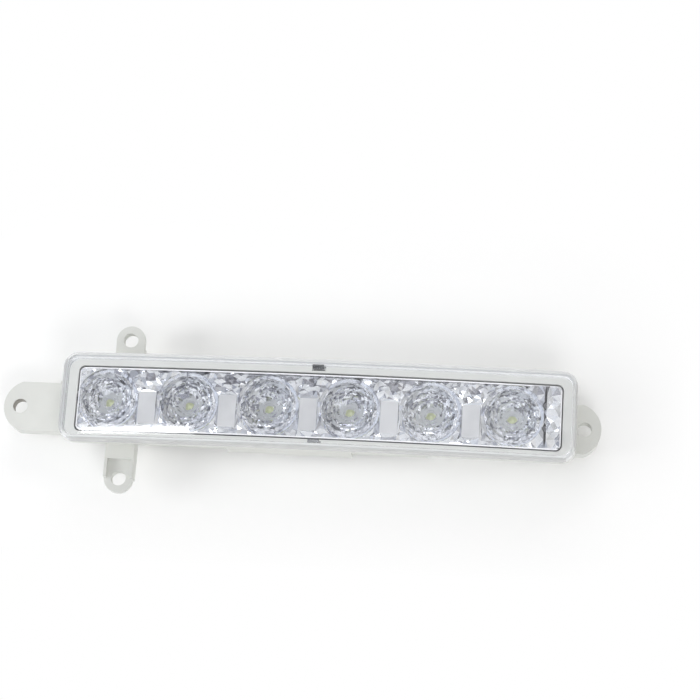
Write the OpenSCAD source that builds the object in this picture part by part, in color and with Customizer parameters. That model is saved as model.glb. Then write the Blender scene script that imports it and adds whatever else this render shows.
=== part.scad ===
// Daytime running light: a grey moulded housing with a ribbed back, a clear cover and six light cells.
// X runs along the lamp, Y from the lit face (minus) to the ribbed back (plus), and Z is up.
// The origin is midway between the two end screw holes, on the front face of the ears.

/* [Face] */
// Distance from one light cell to the next
cell_pitch = 38; // [36:0.5:41]
// Height of the window in the housing frame
window_h = 32; // [31:0.5:36]
// Corner radius of the window
window_r = 3; // [1:0.5:4]
// Width of the housing frame at each end of the window
frame_side = 6.5; // [5.5:0.5:9]
// Width of the housing frame above and below the window
frame_edge = 5; // [4.5:0.5:8]
// Corner radius of the housing frame and of the cover
frame_r = 7; // [5:0.5:9]
// Thickness of the housing frame
frame_t = 2.2; // [1.8:0.1:3]
// Radius of the bow of the face along the lamp
bow_r = 1800; // [1500:50:4000]
// Distance from the ears' front face to the middle of the frame
face_depth = 23; // [22:0.5:26]

/* [Housing shell] */
// Wall thickness of the housing
wall = 2; // [1.6:0.1:2.4]
// Height of the back plate
back_h = 30; // [28.5:0.5:33]
// Distance from the ears' front face to the back plate
back_inset = 2; // [1.5:0.5:4]
// How far the end wall leans in on the long ear's side
lean_long = 3; // [1:0.5:5]
// How far the end wall leans in on the short ear's side
lean_short = 11; // [8:0.5:13]
// Width of the snap slot in the frame
snap_w = 6.2; // [4:0.2:9]

/* [Back ribs] */
// Thickness of a rib
rib_t = 1; // [0.8:0.1:1.4]
// Height of the ribs over the back plate
rib_h = 10; // [7:0.5:12]
// Distance from one rib to the next
rib_pitch = 5.1; // [4:0.1:7]
// Thickness of the wide rib beside the well
wide_rib_t = 2.4; // [1.6:0.2:3.6]
// Width of the open rib box beside the short ear
rib_box_w = 19.7; // [16:0.1:22]
// Diameter of the round peg
peg_d = 7.6; // [5:0.2:9]
// Length of the flat tab beside the wide rib
tab_w = 12; // [8:0.5:16]
// Height of the flat tab
tab_h = 7.4; // [5:0.2:12]

/* [Breather] */
// Inner width of the square well along the lamp
well_w = 27; // [25:0.5:29]
// Thickness of the well's walls
well_t = 1.4; // [1:0.1:1.8]
// Height of the well's walls over the back plate
well_h = 11.5; // [9:0.5:14]
// Diameter of the breather cap
cap_d = 20.6; // [17:0.2:22]
// Height of the breather cap
cap_h = 11; // [8:0.5:14]
// Wall thickness of the breather cap
cap_t = 2.2; // [1.6:0.1:2.8]
// Diameter of the bore in the breather spigot
vent_bore_d = 5; // [3:0.5:6]

/* [Connector socket] */
// Outer width of the socket
socket_w = 18; // [16:0.5:19]
// Outer height of the socket
socket_h = 17.2; // [15:0.2:18]
// Wall thickness of the socket
socket_t = 1.3; // [1:0.1:1.6]
// Length of the socket behind the back plate
socket_l = 16; // [13:0.5:20]
// Height of the socket's middle over the lamp's middle line
socket_z = 3.4; // [0:0.2:4]
// Distance between the two terminals
terminal_pitch = 5; // [4:0.2:6.4]

/* [Ears and brackets] */
// Distance from the frame's end to the long ear's hole
reach_long = 25; // [21:0.5:32]
// Distance from the frame's end to the short ear's hole
reach_short = 4; // [3:0.5:10]
// Diameter of the ear holes
ear_hole_d = 7; // [5:0.1:7.4]
// Height of the ears
ear_h = 24; // [20:0.5:26]
// Thickness of the ears' floor
ear_t = 2.5; // [2:0.1:3.5]
// Depth of the ears' rim and boss
ear_rim = 7; // [5:0.5:9]
// Distance from the frame's long ear end to the brackets
bracket_in = 26.5; // [20:0.5:34]
// Distance from the frame's edge to a bracket's hole
bracket_reach = 13; // [11:0.5:18]
// Width of a bracket
bracket_w = 14; // [12.5:0.5:17]
// Thickness of a bracket's plate
bracket_t = 2.4; // [1.8:0.1:3]
// Diameter of the bracket holes
bracket_hole_d = 7; // [5:0.1:7.4]

/* [Cover] */
// Depth of the cover in front of the frame
cover_depth = 7; // [6:0.5:10]
// Wall thickness of the cover
cover_t = 2; // [1.6:0.1:2.4]
// Rounding of the cover's front edge
cover_round = 1.6; // [1:0.1:2]

/* [Light cells] */
// Diameter of a collimator
optic_d = 29; // [26:0.5:29.5]
// Thickness of a collimator's rim
optic_rim = 1.5; // [1.2:0.1:1.8]
// Diameter of the opening at the bottom of a bowl
bowl_floor_d = 9; // [7.5:0.5:11]
// Wall thickness of the reflector
reflector_t = 1.2; // [1:0.1:1.5]
// Width of one light-emitting diode
led_w = 3.6; // [2.8:0.1:4.2]
// Thickness of the circuit board
board_t = 1.6; // [1.2:0.1:2]
// Height of the circuit board
board_h = 23; // [21:0.5:24]
// Diameter of the board screws' thread
screw_d = 2.2; // [1.8:0.1:2.6]

/* [Hidden] */
$fn = 48;
bow_fn = 1440;
cells = 6;
// Clearances: loose fit, seat of the cover and sliding fit of a shaft in its hole
fit = 0.4;
seat = 0.05;
slide = 0.1;
// Overlap of cuts and of fused features
cut = 1;
bite = 0.5;

// Frame, window and the lamp's own middle, seen from the origin between the ear holes
window_w = cells * cell_pitch;
frame_w = window_w + 2 * frame_side;
frame_h = window_h + 2 * frame_edge;
ear_span = frame_w + reach_long + reach_short;
lamp_x = (reach_long - reach_short) / 2;
long_hole_x = -ear_span / 2;
short_hole_x = ear_span / 2;
face_y = -face_depth;
back_y = -back_inset;
inner_y = back_y - wall;
// The flat reflector starts just behind the ends of the bowed face, and the walls lean in behind it
sag = bow_r - sqrt(bow_r * bow_r - frame_w * frame_w / 4);
reflector_y = face_y + sag + 0.8;
straight_y = reflector_y + optic_rim + reflector_t + fit;
end_x = window_w / 2 + wall;
back_left = -end_x + lean_long;
back_right = end_x - lean_short;
rib_top = back_y + rib_h;
slot_h = 1.8;
slot_gap = 1;
slot_z = window_h / 2 + slot_gap + slot_h / 2;
slot_depth = 6;

// Features along the back, counted from the lamp's middle
box_right = back_right - 1.5;
box_left = box_right - rib_box_w;
socket_gap = 7;
socket_x = box_left - socket_gap - socket_w / 2;
socket_r = 2.7;
socket_floor = 2;
grid_gap = 8;
grid_right = socket_x - socket_w / 2 - grid_gap;
well_x = -1.5;
well_left = well_x - well_w / 2 - well_t;
well_right = well_x + well_w / 2 + well_t;
well_low = -back_h / 2;
well_high = back_h / 2 - well_t;
cap_z = 1.5;
crush_d = 1.6;
wide_gap = 3.8;
wide_rib_x = well_left - wide_gap - wide_rib_t / 2;
peg_x = wide_rib_x - 4.5 * rib_pitch;
pad_h = 9;
pad_drop = 3;

// Ears
ear_end = 8;
ear_back = 4.8;
ear_boss_d = ear_hole_d + 4.6;
ear_wall = 1.5;
ear_box_w = 12.4;
counterbore = 0.9;
bracket_x = -frame_w / 2 + bracket_in;
bracket_z = frame_h / 2 + bracket_reach;
bracket_y = -3;
bracket_rim = 5.5;
bracket_wall = 1.5;
bracket_boss_d = max(bracket_hole_d + 4, bracket_w - 2 * bracket_wall + 0.6);
bracket_step = 2.5;

// Light cells: reflector, optics, diodes and board
bowl_d = optic_d + fit;
seat_y = reflector_y + optic_rim;
seat_w = 1.1;
board_y = -8.5;
board_back = board_y + board_t;
board_w = window_w - 14;
board_x = -3.2;
led_base_t = 0.7;
led_dome_d = 2.8;
post_d = 5;
screw_l = 4.6;
screw_head_d = 4.2;
screw_head_h = 1.4;
terminal_w = 0.8;
terminal_h = 2.2;
terminal_l = 7.5;
solder_l = 0.8;
spigot_h = 6;
spigot_d = cap_d - 2 * cap_t - 2 * slide;
membrane_t = 0.4;
seal_w = 1.4;
seal_d = 1;
seal_in = cover_t / 2;
panel_w = cell_pitch - optic_d;

function cell_x(i) = -window_w / 2 + optic_d / 2 + fit / 2 + i * cell_pitch;
function panel_x(i) = cell_x(i) + cell_pitch / 2;
screw_cells = [0, 2, 3, 5];
function screw_x(i) = panel_x(screw_cells[i]) - (screw_cells[i] == 5 ? cell_pitch : 0);
function screw_z(i) = (i % 2 == 0 ? 1 : -1) * (board_h / 2 - 3);

// Helpers
module lamp() { translate([lamp_x, 0, 0]) children(); }

module deep(y0, y1) {
    translate([0, y1, 0]) rotate([90, 0, 0]) linear_extrude(y1 - y0) children();
}

module along(x0, x1) {
    translate([x0, 0, 0]) rotate([90, 0, 90]) linear_extrude(x1 - x0) children();
}

module block(x0, x1, y0, y1, z0, z1) {
    translate([x0, y0, z0]) cube([x1 - x0, y1 - y0, z1 - z0]);
}

module rod(x, z, y0, y1, d) {
    translate([x, y1, z]) rotate([90, 0, 0]) cylinder(h = y1 - y0, d = d);
}

module round_rect(w, h, r) {
    square([w - 2 * r, h], center = true);
    square([w, h - 2 * r], center = true);
    for (sx = [-1, 1], sz = [-1, 1])
        translate([sx * (w / 2 - r), sz * (h / 2 - r)]) circle(r);
}

// Everything behind the bowed face, moved forward by ahead
module behind_face(ahead, h) {
    translate([0, face_y + bow_r, 0])
        cylinder(h = h, r = bow_r + ahead, center = true, $fn = bow_fn);
}

module bowed(from, to, h) {
    difference() {
        behind_face(from, h);
        behind_face(to, h + cut);
    }
}

// Trough with sloping walls: grown by the wall for the outside, bare for the cavity
module trough(grow, end_y) {
    h1 = window_h / 2 + grow;
    h2 = back_h / 2 - wall + grow;
    x1 = window_w / 2 + grow;
    left = back_left + wall - grow;
    right = back_right - wall + grow;
    front = face_y - cut;
    intersection() {
        along(-x1 - cut, x1 + cut)
            polygon([
                [front, -h1], [straight_y, -h1], [end_y, -h2],
                [end_y, h2], [straight_y, h1], [front, h1]
            ]);
        translate([0, 0, -h1 - cut]) linear_extrude(2 * h1 + 2 * cut)
            polygon([
                [-x1, front], [-x1, straight_y], [left, end_y],
                [right, end_y], [x1, straight_y], [x1, front]
            ]);
        deep(front, end_y) round_rect(2 * x1, 2 * h1, window_r + grow);
        if (grow > 0) behind_face(0, 4 * h1);
    }
}

// Housing
module frame() {
    intersection() {
        deep(face_y - cut, straight_y) round_rect(frame_w, frame_h, frame_r);
        bowed(0, -frame_t, 2 * frame_h);
    }
}

module frame_cuts() {
    // Snap slots at the middle of the long sides
    for (s = [-1, 1])
        block(-snap_w / 2, snap_w / 2, face_y - cut, face_y + slot_depth,
            s * slot_z - slot_h / 2, s * slot_z + slot_h / 2);
    // Groove for the sealing bead
    intersection() {
        deep(face_y - cut, straight_y) seal_ring(seal_w);
        bowed(cut, -seal_d, 2 * frame_h);
    }
}

module seal_ring(w) {
    difference() {
        round_rect(frame_w - 2 * seal_in + w, frame_h - 2 * seal_in + w, frame_r - seal_in + w / 2);
        round_rect(frame_w - 2 * seal_in - w, frame_h - 2 * seal_in - w, frame_r - seal_in - w / 2);
    }
}

module rails(x0, x1) {
    for (s = [-1, 1])
        block(x0, x1, back_y - bite, rib_top,
            min(s * back_h / 2, s * (back_h / 2 - rib_t)), max(s * back_h / 2, s * (back_h / 2 - rib_t)));
}

module rib(x, t) {
    block(x - t / 2, x + t / 2, back_y - bite, rib_top, -back_h / 2, back_h / 2);
}

module pad(x0, x1, z) {
    block(x0, x1, back_y - bite, rib_top - pad_drop, z - pad_h / 2, z + pad_h / 2);
}

// Grid between the socket and the well
module short_grid() {
    count = floor((grid_right - well_right) / rib_pitch);
    rails(well_right - bite, grid_right + rib_t / 2);
    for (i = [0 : count - 1]) rib(grid_right - i * rib_pitch, rib_t);
    pad(grid_right - 6 * rib_pitch, grid_right - 4 * rib_pitch, 0);
}

// Grid from the wide rib to the long ear
module long_grid() {
    first = wide_rib_x;
    count = floor((first - back_left) / rib_pitch - 0.3);
    rails(back_left, wide_rib_x);
    rib(wide_rib_x, wide_rib_t);
    for (i = [1 : count]) rib(first - i * rib_pitch, rib_t);
    pad(first - 7 * rib_pitch, first - 5 * rib_pitch, -1);
    block(back_left, back_left + rib_t, back_y - bite, rib_top, -back_h / 2, back_h / 2);
    for (s = [-1, 1])
        block(back_left, first - count * rib_pitch, back_y - bite, rib_top - pad_drop,
            s * back_h / 3 - pad_h / 4, s * back_h / 3 + pad_h / 4);
    rod(peg_x, 0.7, back_y - bite, rib_top + 1.5, peg_d);
    block(wide_rib_x - tab_w, wide_rib_x, rib_top - 1.5, rib_top, -2.4, tab_h - 2.4);
}

module rib_box() {
    low = -back_h / 2 + 2;
    difference() {
        block(box_left, box_right, back_y - bite, rib_top, low, back_h / 2);
        block(box_left + 1.2, box_right - 1.2, back_y, rib_top + cut, low + 1.2, back_h / 2 - 1.2);
    }
    for (i = [1, 2])
        block(box_left + i * rib_box_w / 3 - rib_t / 2, box_left + i * rib_box_w / 3 + rib_t / 2,
            back_y - bite, rib_top - 2, low, back_h / 2);
}

// Square well round the breather, with crush ribs and a spigot
module well() {
    top = back_y + well_h;
    for (x = [well_left, well_right - well_t])
        block(x, x + well_t, back_y - bite, top, well_low, well_high + well_t);
    // Broad lower plate that runs down the sloping wall
    block(well_left - 1, well_right + 2, straight_y + 6, top, well_low - well_t, well_low);
    block(wide_rib_x - 4.5 * rib_pitch, well_left - 1, straight_y + 8, rib_top, well_low - well_t, well_low);
    // Far wall with two notches
    difference() {
        block(well_left, well_right, back_y - bite, top, well_high, well_high + well_t);
        for (s = [-1, 1])
            block(well_x + s * well_w / 4 - 1.5, well_x + s * well_w / 4 + 1.5, back_y + well_h / 2, top + cut,
                well_high - cut, well_high + well_t + cut);
    }
    // Crush ribs
    for (x = [well_x - well_w / 2, well_x + well_w / 2]) rod(x, cap_z, back_y - bite, top, crush_d);
    for (s = [-1, 1]) rod(well_x + s * well_w / 4, well_low, back_y - bite, top, crush_d);
    rod(well_x, cap_z, back_y - bite, back_y + spigot_h, spigot_d);
}

module socket() {
    top = back_y + socket_l;
    translate([socket_x, 0, socket_z]) {
        deep(back_y - bite, top) round_rect(socket_w, socket_h, socket_r);
        // Latch rib below and key rib above
        block(-0.7, 0.7, back_y - bite, top - 1.5, -socket_h / 2 - 1.4, -socket_h / 2 + bite);
        block(-0.6, 0.6, back_y - bite, back_y + 6, socket_h / 2 - bite, socket_h / 2 + 0.8);
    }
}

module socket_cuts() {
    translate([socket_x, 0, socket_z]) {
        difference() {
            deep(back_y + socket_floor, back_y + socket_l + cut)
                round_rect(socket_w - 2 * socket_t, socket_h - 2 * socket_t, socket_r - socket_t);
            block(-1.6, 1.6, back_y, back_y + socket_l - 0.6,
                -socket_h / 2 + socket_t - cut, -socket_h / 2 + socket_t + 1);
        }
        for (s = [-1, 1])
            block(s * terminal_pitch / 2 - terminal_w / 2 - slide, s * terminal_pitch / 2 + terminal_w / 2 + slide,
                inner_y - cut, back_y + socket_floor + cut,
                -terminal_h / 2 - slide, terminal_h / 2 + slide);
    }
}

// Ear outline from x0 past the hole, where its end is one broad arc; dir is -1 for the long ear
module ear_outline(x0, hole_x, dir, inset) {
    turn_x = hole_x - dir * ear_back;
    h = ear_h - 2 * inset;
    translate([min(x0, turn_x), -h / 2]) square([abs(turn_x - x0), h]);
    intersection() {
        translate([turn_x, 0]) circle(ear_end + ear_back - inset, $fn = 96);
        translate([turn_x - ear_h, -h / 2]) square([2 * ear_h, h]);
    }
}

module ear(x0, hole_x, dir) {
    difference() {
        union() {
            deep(0, ear_t) ear_outline(x0, hole_x, dir, 0);
            // Rim along the two long sides and round the end, open at the boss
            difference() {
                deep(0, ear_rim) ear_outline(x0, hole_x, dir, 0);
                deep(-cut, ear_rim + cut) ear_outline(x0 - dir * cut, hole_x, dir, ear_wall);
                rod(hole_x + dir * ear_end, 0, -cut, ear_rim + cut, ear_boss_d);
            }
            rod(hole_x, 0, 0, ear_rim, ear_boss_d);
        }
        rod(hole_x, 0, -cut, ear_rim + cut, ear_hole_d);
        rod(hole_x, 0, ear_rim - 1.2, ear_rim + cut, ear_hole_d + 2 * counterbore);
    }
}

// Open box that carries the long ear on the end wall
module ear_box() {
    x1 = back_left + rib_t;
    x0 = back_left - ear_box_w;
    step_x = back_left - lean_long - wall - 2;
    low = straight_y + 6;
    difference() {
        union() {
            block(step_x, x1, low, ear_rim, -ear_h / 2, ear_h / 2);
            block(x0, x1, 0, ear_rim, -ear_h / 2, ear_h / 2);
        }
        block(step_x + ear_wall, back_left, low + 2, ear_rim + cut, -ear_h / 2 + ear_wall, ear_h / 2 - ear_wall);
        block(x0 + ear_wall, back_left, ear_t, ear_rim + cut, -ear_h / 2 + ear_wall, ear_h / 2 - ear_wall);
    }
    // Diagonal gusset across the box
    deep(low + 1, ear_rim - 1.5)
        polygon([
            [back_left + bite, 2.5], [back_left + bite, 4],
            [x0 + bite, ear_h / 2 - 1], [x0 + bite, ear_h / 2 - 2.8]
        ]);
}

// Tray of the short ear: side webs down to the leaning end wall
module tray_webs() {
    for (s = [-1, 1])
        translate([0, 0, s * (ear_h / 2 - ear_wall / 2) - ear_wall / 2]) linear_extrude(ear_wall)
            polygon([
                [box_right - bite, bite], [box_right - bite, back_y - bite],
                [back_right - 0.2, back_y - bite], [end_x - 2.5, straight_y + 4],
                [end_x + 1.5, straight_y + 7], [end_x + 3, bite]
            ]);
}

// One bracket with its plate, side walls, cross rib and boss; s is 1 above and -1 below
module bracket(s) {
    tip = bracket_z;
    root = back_h / 2 - bite;
    back = bracket_y + bracket_rim;
    front = s < 0 ? bracket_y - bracket_step : bracket_y;
    half = bracket_w / 2;
    mirror([0, 0, s < 0 ? 1 : 0]) translate([bracket_x, 0, 0]) difference() {
        union() {
            // Plate with a round end
            block(-half, half, bracket_y, bracket_y + bracket_t, root, tip);
            rod(0, tip, bracket_y, bracket_y + bracket_t, bracket_w);
            rod(0, tip, bracket_y, back, bracket_boss_d);
            // Side walls
            for (e = [-1, 1])
                block(e < 0 ? -half : half - bracket_wall, e < 0 ? -half + bracket_wall : half,
                    front, back, root, s < 0 ? tip : tip - bracket_w / 4);
            // Cross rib and, below, the step that stands towards the face
            block(-half, half, bracket_y, back - 1, frame_h / 2 + 1, frame_h / 2 + 2.2);
            if (s < 0) block(-half, half, front, front + bracket_t, root, frame_h / 2 + 4);
            if (s < 0) block(-half, half, front, bracket_y + bite, frame_h / 2 + 2.8, frame_h / 2 + 4);
        }
        rod(0, tip, bracket_y - cut, back + cut, bracket_hole_d);
        rod(0, tip, back - 1, back + cut, bracket_hole_d + 1.4);
    }
}

module board_posts() {
    for (i = [0 : 3]) rod(screw_x(i), screw_z(i), board_back, inner_y + bite, post_d);
}

module housing() {
    color([0.83, 0.85, 0.83]) lamp() difference() {
        union() {
            difference() {
                union() {
                    frame();
                    trough(wall, back_y);
                }
                trough(0, inner_y);
                frame_cuts();
            }
            short_grid();
            long_grid();
            rib_box();
            well();
            socket();
            ear_box();
            tray_webs();
            bracket(1);
            bracket(-1);
            board_posts();
            ear(back_left - ear_box_w + bite, long_hole_x - lamp_x, -1);
            ear(box_right - bite, short_hole_x - lamp_x, 1);
        }
        socket_cuts();
        rod(well_x, cap_z, inner_y - cut, back_y + spigot_h + cut, vent_bore_d);
        for (i = [0 : 3]) rod(screw_x(i), screw_z(i), board_back - cut, board_y + screw_l + 0.4, screw_d + 2 * slide);
    }
}

// Clear cover with a deep skirt and two snap hooks
module cover_section(inset) {
    far = bow_r + cover_depth - inset;
    h = frame_h - 2 * inset;
    r = max(cover_round - inset, 0.4);
    translate([bow_r - 12, -h / 2]) square([far - r - bow_r + 12, h]);
    translate([bow_r - 12, -h / 2 + r]) square([far - bow_r + 12, h - 2 * r]);
    for (s = [-1, 1]) translate([far - r, s * (h / 2 - r)]) circle(r);
}

module cover_form(inset) {
    reach = asin(frame_w / bow_r);
    intersection() {
        translate([0, face_y + bow_r, 0]) rotate([0, 0, -90 - reach])
            rotate_extrude(angle = 2 * reach, $fn = bow_fn) cover_section(inset);
        deep(face_y - cover_depth - cut, straight_y)
            round_rect(frame_w - 2 * inset, frame_h - 2 * inset, frame_r - inset);
    }
}

module outer_lens() {
    color([0.93, 0.95, 0.97]) lamp() {
        difference() {
            cover_form(0);
            cover_form(cover_t);
            behind_face(seat, 2 * frame_h);
        }
        // Snap hooks through the slots
        for (s = [-1, 1])
            intersection() {
                block(-snap_w / 2 + fit, snap_w / 2 - fit, face_y - cover_depth + cover_t / 2, face_y + frame_t + 1,
                    s * slot_z - slot_h / 2 + slide, s * slot_z + slot_h / 2 - slide);
                cover_form(cover_t / 2);
            }
    }
}

module lens_seal() {
    color([0.35, 0.36, 0.37]) lamp() intersection() {
        deep(face_y - cut, straight_y) seal_ring(seal_w - 2 * slide);
        bowed(0, -seal_d, 2 * frame_h);
    }
}

// Metallised reflector: window lining, six bowls and cut facets between them
module bowl_cup(grow, from, to) {
    top_r = optic_d / 2 - seat_w;
    low_r = bowl_floor_d / 2;
    rotate([90, 0, 0]) rotate_extrude()
        polygon([
            [0, -to], [low_r + grow, -to], [low_r + grow, -board_y + 1.2],
            [top_r + grow, -seat_y], [top_r + grow, -from], [0, -from]
        ]);
}

module facet(x, z, d, h, sides, turn) {
    translate([x, reflector_y + 0.2, z]) rotate([90, 0, 0]) rotate([0, 0, turn])
        cylinder(h = h + 0.2, d1 = d, d2 = d * 0.12, $fn = sides);
}

// Panel between two bowls: a tall flat face, a sloped foot and a crown of cut facets
panel_low = 11;
panel_high = 4.5;
panel_rise = 2.2;

module panel(x) {
    half = panel_w / 2 - 0.4;
    top = window_h / 2 - fit - bite;
    translate([x, 0, 0]) {
        along(-half, half)
            polygon([
                [reflector_y + 0.2, -top], [reflector_y - 0.4, -top], [reflector_y - panel_rise, -panel_low],
                [reflector_y - panel_rise, panel_high], [reflector_y - 0.6, top - 5], [reflector_y + 0.2, top]
            ]);
        for (s = [-1, 1]) {
            facet(s * 4.6, top - 3.2, 6.4, 2.6, 5, s * 20);
            facet(s * 7.8, top - 1.8, 4.2, 1.8, 4, 10);
            facet(s * 5, -top + 2.8, 5, 1.8, 4, 45);
        }
        facet(0, top - 3, 7.6, 3.2, 6, 15);
        facet(0, -top + 3, 5.6, 1.4, 4, 45);
    }
}

// End panel with upright prisms
module end_panel() {
    left = cell_x(cells - 1) + bowl_d / 2 + 0.4;
    right = window_w / 2 - fit - bite;
    n = 3;
    step = (right - left) / n;
    top = window_h / 2 - fit - bite;
    for (i = [0 : n - 1])
        translate([left + i * step, reflector_y + 0.2, -top]) linear_extrude(2 * top)
            polygon([[0, 0], [step, 0], [step * (0.25 + 0.25 * i), -2.2 - 0.4 * i]]);
}

module reflector() {
    w = window_w - 2 * fit;
    h = window_h - 2 * fit;
    color([0.75, 0.77, 0.82]) lamp() difference() {
        union() {
            // Floor sheet and the lining of the window
            deep(reflector_y, reflector_y + optic_rim + reflector_t) round_rect(w, h, window_r);
            difference() {
                intersection() {
                    deep(face_y - cut, reflector_y + bite) round_rect(w, h, window_r);
                    behind_face(-fit, 2 * frame_h);
                }
                deep(face_y - 2 * cut, reflector_y + cut)
                    round_rect(w - 2 * reflector_t, h - 2 * reflector_t, max(window_r - reflector_t, 0.5));
            }
            for (i = [0 : cells - 1]) translate([cell_x(i), 0, 0]) bowl_cup(reflector_t, seat_y, board_y);
            // Panels, cut to the inside of the lining
            intersection() {
                union() {
                    for (i = [0 : cells - 2]) panel(panel_x(i));
                    end_panel();
                }
                block(-w / 2, w / 2, face_y, reflector_y + cut, -h / 2 + bite, h / 2 - bite);
            }
        }
        for (i = [0 : cells - 1]) translate([cell_x(i), 0, 0]) {
            bowl_cup(0, reflector_y, board_y + cut);
            rod(0, 0, reflector_y - 4, seat_y, bowl_d);
        }
    }
}

// Collimator: faceted front rings over a cone with a socket for the diode
rings = 6;
sides = 20;
ring_relief = 0.9;

function ring_r(k) = (optic_d / 2 - 0.6) * k / rings;
function ring_y(k) = reflector_y - 0.6 - (k % 2 == 1 ? ring_relief : 0) - 1.2 * (1 - pow(k / rings, 2));
function ring_point(r, y, j, half) = let (a = 360 * (j + half) / sides) [r * cos(a), y, r * sin(a)];
function loop(n) = [for (j = [0 : sides - 1]) n * sides + j];
function next(j) = (j + 1) % sides;

module collimator(x) {
    cone_top = optic_d / 2 - seat_w - 0.3;
    cone_low = bowl_floor_d / 2 - 0.3;
    low_y = board_y - 1.9;
    pit_r = led_w * 0.75;
    pit_y = low_y - 3.2;
    // Rings from the crown down: front facets, rim, cone and the diode's pit
    profile = concat(
        [for (k = [1 : rings]) [ring_r(k), ring_y(k), k % 2 == 1 ? 0.5 : 0]],
        [[optic_d / 2, reflector_y + 0.1, 0], [optic_d / 2, seat_y, 0], [cone_top, seat_y, 0],
         [cone_low, low_y, 0], [pit_r, low_y, 0], [pit_r * 0.8, pit_y, 0]]
    );
    last = len(profile) - 1;
    points = concat(
        [for (p = profile, j = [0 : sides - 1]) ring_point(p[0], p[1], j, p[2])],
        [[0, ring_y(0) - 0.2, 0], [0, pit_y - 0.3, 0]]
    );
    crown = len(points) - 2;
    core = len(points) - 1;
    faces = concat(
        [for (j = [0 : sides - 1]) [crown, j, next(j)]],
        [for (k = [0 : last - 1], j = [0 : sides - 1])
            let (a = k * sides + j, b = k * sides + next(j), c = a + sides, d = b + sides,
                 lean = profile[k][2] > profile[k + 1][2])
            each (lean ? [[a, c, d], [a, d, b]] : [[a, c, b], [b, c, d]])],
        [for (j = [0 : sides - 1]) [core, last * sides + next(j), last * sides + j]]
    );
    translate([x, 0, 0]) polyhedron(points = points, faces = faces, convexity = 6);
}

module optic(i) {
    color([0.9, 0.92, 0.96]) lamp() collimator(cell_x(i));
}

module led(i) {
    color([0.95, 0.9, 0.45]) lamp() translate([cell_x(i), 0, 0]) {
        block(-led_w / 2, led_w / 2, board_y - led_base_t, board_y, -led_w / 2, led_w / 2);
        translate([0, board_y - led_base_t, 0]) rotate([90, 0, 0])
            intersection() {
                sphere(d = led_dome_d);
                translate([0, 0, -bite]) cylinder(h = led_dome_d, d = led_dome_d);
            }
    }
}

module led_board() {
    color([0.88, 0.9, 0.88]) lamp() difference() {
        translate([board_x, 0, 0]) deep(board_y, board_back) round_rect(board_w, board_h, 2);
        for (i = [0 : 3]) rod(screw_x(i), screw_z(i), board_y - cut, board_back + cut, screw_d + 2 * slide);
        for (s = [-1, 1])
            block(socket_x + s * terminal_pitch / 2 - terminal_w / 2 - slide,
                socket_x + s * terminal_pitch / 2 + terminal_w / 2 + slide,
                board_y - cut, board_back + cut,
                socket_z - terminal_h / 2 - slide, socket_z + terminal_h / 2 + slide);
    }
}

// Parts soldered to the board, in the room between the bowls
module driver_chip() {
    color([0.15, 0.15, 0.16]) lamp() translate([panel_x(3), 0, 0]) {
        block(-2.5, 2.5, board_y - 1.6, board_y - 0.15, -2, 2);
        for (s = [-1, 1], k = [0 : 3])
            block(-1.905 + k * 1.27 - 0.2, -1.905 + k * 1.27 + 0.2, board_y - 0.6, board_y,
                s > 0 ? 1.8 : -3, s > 0 ? 3 : -1.8);
    }
}

module smoothing_capacitor() {
    color([0.6, 0.62, 0.65]) lamp() translate([panel_x(1), 0, 0]) {
        block(-3.3, 3.3, board_y - 0.8, board_y, -3.3, 3.3);
        rod(0, 0, board_y - 5.4, board_y - 0.8 + 0.2, 6.3);
    }
}

module surge_diode() {
    color([0.18, 0.18, 0.19]) lamp() translate([panel_x(0), 0, 0]) {
        block(-2.2, 2.2, board_y - 2.2, board_y - 0.1, -1.8, 1.8);
        for (s = [-1, 1])
            block(s > 0 ? 2 : -3, s > 0 ? 3 : -2, board_y - 0.8, board_y, -1, 1);
    }
}

module board_resistors() {
    color([0.2, 0.2, 0.22]) lamp() for (i = [0 : cells - 2])
        translate([panel_x(i) + 6, 0, i % 2 == 0 ? -5 : 5])
            block(-1.6, 1.6, board_y - 0.6, board_y, -0.8, 0.8);
}

module terminal(s) {
    color([0.8, 0.72, 0.5]) lamp() translate([socket_x + s * terminal_pitch / 2, 0, socket_z])
        block(-terminal_w / 2, terminal_w / 2, board_y - solder_l, back_y + socket_floor + terminal_l,
            -terminal_h / 2, terminal_h / 2);
}

// Breather: a hollow cap pushed over the spigot, and the membrane under it
module breather_cap() {
    r = cap_d / 2;
    round = 2.6;
    base = back_y + 0.6;
    lip = base + cap_h;
    color([0.09, 0.12, 0.36]) lamp() translate([well_x, base, cap_z]) rotate([-90, 0, 0]) rotate_extrude(convexity = 4)
        difference() {
            union() {
                square([r, cap_h - round]);
                square([r - round, cap_h]);
                translate([r - round, cap_h - round]) circle(round);
            }
            square([spigot_d / 2 + slide, back_y + spigot_h + membrane_t + 0.3 - base]);
            translate([-r, -cut]) square([r, cap_h + 2 * cut]);
        }
}

module vent_membrane() {
    color([0.95, 0.95, 0.93]) lamp()
        rod(well_x, cap_z, back_y + spigot_h, back_y + spigot_h + membrane_t, vent_bore_d + 4);
}

module board_screws() {
    color([0.7, 0.7, 0.72]) lamp() for (i = [0 : 3]) {
        rod(screw_x(i), screw_z(i), board_y - screw_head_h, board_y, screw_head_d);
        rod(screw_x(i), screw_z(i), board_y - 0.2, board_y + screw_l, screw_d);
    }
}

housing();
outer_lens();
lens_seal();
reflector();
optic(0);  // optic_1
optic(1);  // optic_2
optic(2);  // optic_3
optic(3);  // optic_4
optic(4);  // optic_5
optic(5);  // optic_6
led(0);  // led_1
led(1);  // led_2
led(2);  // led_3
led(3);  // led_4
led(4);  // led_5
led(5);  // led_6
led_board();
driver_chip();
smoothing_capacitor();
surge_diode();
board_resistors();
terminal(1);  // terminal_1
terminal(-1);  // terminal_2
breather_cap();
vent_membrane();
board_screws();
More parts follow.
